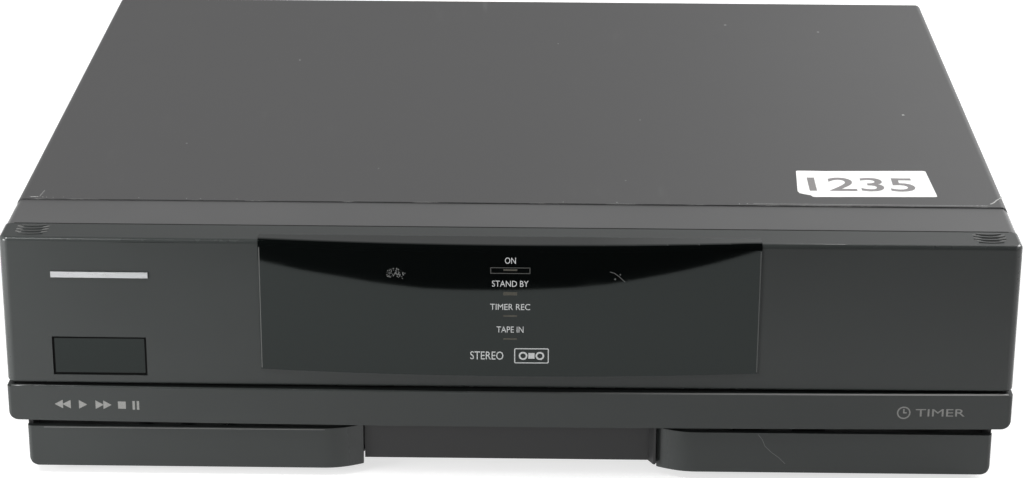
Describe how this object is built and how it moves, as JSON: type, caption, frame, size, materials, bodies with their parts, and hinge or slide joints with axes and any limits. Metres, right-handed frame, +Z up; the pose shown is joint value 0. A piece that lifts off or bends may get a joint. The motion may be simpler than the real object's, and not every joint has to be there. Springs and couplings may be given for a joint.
{
  "type": "video cassette recorder",
  "caption": "Front-loading video cassette recorder with a full-width drop-down door, two lower flaps, tape deck and electronics in a steel cover.",
  "frame": {"origin": "middle of the recorder's outline, on the surface its feet stand on", "axes": "+X to the right seen from the front, -Y towards the front, +Z up"},
  "size_m": [0.43, 0.372, 0.11],
  "materials": {
    "cover_paint": "satin dark grey stoved paint",
    "bezel_plastic": "fine-grained dark grey moulded plastic",
    "door_plastic": "fine-grained anthracite moulded plastic",
    "smoked_window": "smoked black acrylic, polished",
    "ir_plastic": "dark infra-red plastic, gloss",
    "badge_metal": "satin aluminium",
    "black_plastic": "black moulded plastic",
    "key_plastic": "dark grey key plastic",
    "steel": "zinc-plated steel",
    "aluminium": "machined aluminium",
    "rubber": "black rubber",
    "circuit_board": "green solder mask",
    "lamp_plastic": "red translucent plastic",
    "reel_plastic": "off-white acetal",
    "brass": "bright brass"
  },
  "bodies": {
    "chassis": {"top_cover": "cover_paint", "base_tray": "steel", "feet": "rubber", "front_bezel": "bezel_plastic", "cover_screws": "steel", "trim_strip": "door_plastic", "lower_fascia": "black_plastic", "hinge_pins": "steel", "inner_fascia": "black_plastic", "display_lens": "smoked_window", "indicator_lamps": "lamp_plastic", "key_board": "circuit_board", "front_jacks": "aluminium", "deck_plate": "steel", "lift_frame": "steel", "lower_drum": "aluminium", "capstan_motor": "steel", "loading_motor": "steel", "tape_heads": "steel", "main_board": "circuit_board", "power_board": "circuit_board", "transformer": "steel", "heat_sink": "aluminium", "tuner_can": "steel", "rear_panel": "black_plastic", "aerial_sockets": "aluminium", "scart_sockets": "black_plastic", "phono_sockets": "black_plastic", "mains_inlet": "black_plastic"},
    "door": {"door_panel": "door_plastic", "door_window": "smoked_window", "ir_lens": "ir_plastic", "badge_bar": "badge_metal"},
    "left_flap": {"left_flap": "door_plastic"},
    "right_flap": {"right_flap": "door_plastic"},
    "slot_flap": {"slot_flap": "black_plastic"},
    "jog_dial": {"jog_dial": "key_plastic"},
    "shuttle_ring": {"shuttle_ring": "key_plastic"},
    "level_knob": {"level_knob": "key_plastic"},
    "lift_slides": {"lift_slides": "steel"},
    "cassette_holder": {"cassette_holder": "steel"},
    "supply_reel": {"supply_reel": "reel_plastic"},
    "takeup_reel": {"takeup_reel": "reel_plastic"},
    "upper_drum": {"upper_drum": "aluminium"},
    "capstan": {"capstan_rotor": "steel"},
    "pinch_arm": {"pinch_arm": "steel"},
    "pinch_roller": {"pinch_roller": "rubber"},
    "supply_guide": {"supply_guide": "brass"},
    "takeup_guide": {"takeup_guide": "brass"},
    "loading_cam": {"loading_cam": "reel_plastic"},
    "power_key": {"power_key": "key_plastic"},
    "eject_key": {"eject_key": "key_plastic"},
    "record_key": {"record_key": "key_plastic"},
    "pause_key": {"pause_key": "key_plastic"},
    "rewind_key": {"rewind_key": "key_plastic"},
    "stop_key": {"stop_key": "key_plastic"},
    "play_key": {"play_key": "key_plastic"},
    "forward_key": {"forward_key": "key_plastic"},
    "small_key_1": {"small_key_1": "key_plastic"},
    "small_key_2": {"small_key_2": "key_plastic"}
  },
  "joints": [
    {"name": "door_hinge", "type": "hinge", "parent": "chassis", "child": "door", "pos_m": [0, -0.1743, 0.055], "axis": [1, 0, 0], "range_deg": [0, 90]},
    {"name": "left_flap_hinge", "type": "hinge", "parent": "chassis", "child": "left_flap", "pos_m": [0, -0.1743, 0.0069], "axis": [1, 0, 0], "range_deg": [0, 90]},
    {"name": "right_flap_hinge", "type": "hinge", "parent": "chassis", "child": "right_flap", "pos_m": [0, -0.1743, 0.0069], "axis": [1, 0, 0], "range_deg": [0, 90]},
    {"name": "slot_flap_hinge", "type": "hinge", "parent": "chassis", "child": "slot_flap", "pos_m": [-0.108, -0.1554, 0.1048], "axis": [1, 0, 0], "range_deg": [0, 86], "stiffness_Nm_per_rad": 0.004},
    {"name": "power_key_push", "type": "slide", "parent": "chassis", "child": "power_key", "axis": [0, 1, 0], "range_m": [0, 0.001], "stiffness_N_per_m": 600, "springref_m": -0.0003},
    {"name": "eject_key_push", "type": "slide", "parent": "chassis", "child": "eject_key", "axis": [0, 1, 0], "range_m": [0, 0.001], "stiffness_N_per_m": 600, "springref_m": -0.0003},
    {"name": "record_key_push", "type": "slide", "parent": "chassis", "child": "record_key", "axis": [0, 1, 0], "range_m": [0, 0.001], "stiffness_N_per_m": 600, "springref_m": -0.0003},
    {"name": "pause_key_push", "type": "slide", "parent": "chassis", "child": "pause_key", "axis": [0, 1, 0], "range_m": [0, 0.001], "stiffness_N_per_m": 600, "springref_m": -0.0003},
    {"name": "rewind_key_push", "type": "slide", "parent": "chassis", "child": "rewind_key", "axis": [0, 1, 0], "range_m": [0, 0.001], "stiffness_N_per_m": 600, "springref_m": -0.0003},
    {"name": "stop_key_push", "type": "slide", "parent": "chassis", "child": "stop_key", "axis": [0, 1, 0], "range_m": [0, 0.001], "stiffness_N_per_m": 600, "springref_m": -0.0003},
    {"name": "play_key_push", "type": "slide", "parent": "chassis", "child": "play_key", "axis": [0, 1, 0], "range_m": [0, 0.001], "stiffness_N_per_m": 600, "springref_m": -0.0003},
    {"name": "forward_key_push", "type": "slide", "parent": "chassis", "child": "forward_key", "axis": [0, 1, 0], "range_m": [0, 0.001], "stiffness_N_per_m": 600, "springref_m": -0.0003},
    {"name": "small_key_1_push", "type": "slide", "parent": "chassis", "child": "small_key_1", "axis": [0, 1, 0], "range_m": [0, 0.001], "stiffness_N_per_m": 600, "springref_m": -0.0003},
    {"name": "small_key_2_push", "type": "slide", "parent": "chassis", "child": "small_key_2", "axis": [0, 1, 0], "range_m": [0, 0.001], "stiffness_N_per_m": 600, "springref_m": -0.0003},
    {"name": "jog_dial_spin", "type": "hinge", "parent": "chassis", "child": "jog_dial", "pos_m": [0.176, -0.1595, 0.062], "axis": [0, -1, 0], "continuous": true},
    {"name": "shuttle_ring_turn", "type": "hinge", "parent": "chassis", "child": "shuttle_ring", "pos_m": [0.176, -0.1595, 0.062], "axis": [0, -1, 0], "range_deg": [-75, 75], "stiffness_Nm_per_rad": 0.02},
    {"name": "level_knob_turn", "type": "hinge", "parent": "chassis", "child": "level_knob", "pos_m": [0.128, -0.1595, 0.062], "axis": [0, -1, 0], "range_deg": [-140, 140]},
    {"name": "lift_slides_run", "type": "slide", "parent": "chassis", "child": "lift_slides", "axis": [0, 1, 0], "range_m": [0, 0.025]},
    {"name": "holder_drop", "type": "slide", "parent": "lift_slides", "child": "cassette_holder", "axis": [0, 0, -1], "range_m": [0, 0.024]},
    {"name": "supply_reel_spin", "type": "hinge", "parent": "chassis", "child": "supply_reel", "pos_m": [-0.1542, -0.0475, 0.046], "axis": [0, 0, 1], "continuous": true},
    {"name": "takeup_reel_spin", "type": "hinge", "parent": "chassis", "child": "takeup_reel", "pos_m": [-0.0618, -0.0475, 0.046], "axis": [0, 0, 1], "continuous": true},
    {"name": "upper_drum_spin", "type": "hinge", "parent": "chassis", "child": "upper_drum", "pos_m": [-0.108, 0.0465, 0.05], "axis": [0, -0.1038, 0.9946], "continuous": true},
    {"name": "capstan_spin", "type": "hinge", "parent": "chassis", "child": "capstan", "pos_m": [-0.046, 0.0125, 0.04], "axis": [0, 0, 1], "continuous": true},
    {"name": "loading_cam_turn", "type": "hinge", "parent": "chassis", "child": "loading_cam", "pos_m": [-0.168, 0.0355, 0.04], "axis": [0, 0, 1], "range_deg": [0, 160]},
    {"name": "pinch_arm_swing", "type": "hinge", "parent": "chassis", "child": "pinch_arm", "pos_m": [-0.024, 0.0325, 0.05], "axis": [0, 0, 1], "range_deg": [-22, 0]},
    {"name": "pinch_roller_spin", "type": "hinge", "parent": "pinch_arm", "child": "pinch_roller", "pos_m": [-0.02818, 0.00451, 0.06], "axis": [0, 0, 1], "continuous": true},
    {"name": "supply_guide_run", "type": "slide", "parent": "chassis", "child": "supply_guide", "axis": [-0.1455, 0.9894, 0], "range_m": [0, 0.06873]},
    {"name": "takeup_guide_run", "type": "slide", "parent": "chassis", "child": "takeup_guide", "axis": [0.1455, 0.9894, 0], "range_m": [0, 0.06873]}
  ],
  "couplings": [
    {"joint": "supply_guide_run", "follows": "loading_cam_turn", "m_per_rad": 0.024613},
    {"joint": "takeup_guide_run", "follows": "loading_cam_turn", "m_per_rad": 0.024613},
    {"joint": "pinch_arm_swing", "follows": "loading_cam_turn", "ratio": -0.1375}
  ]
}
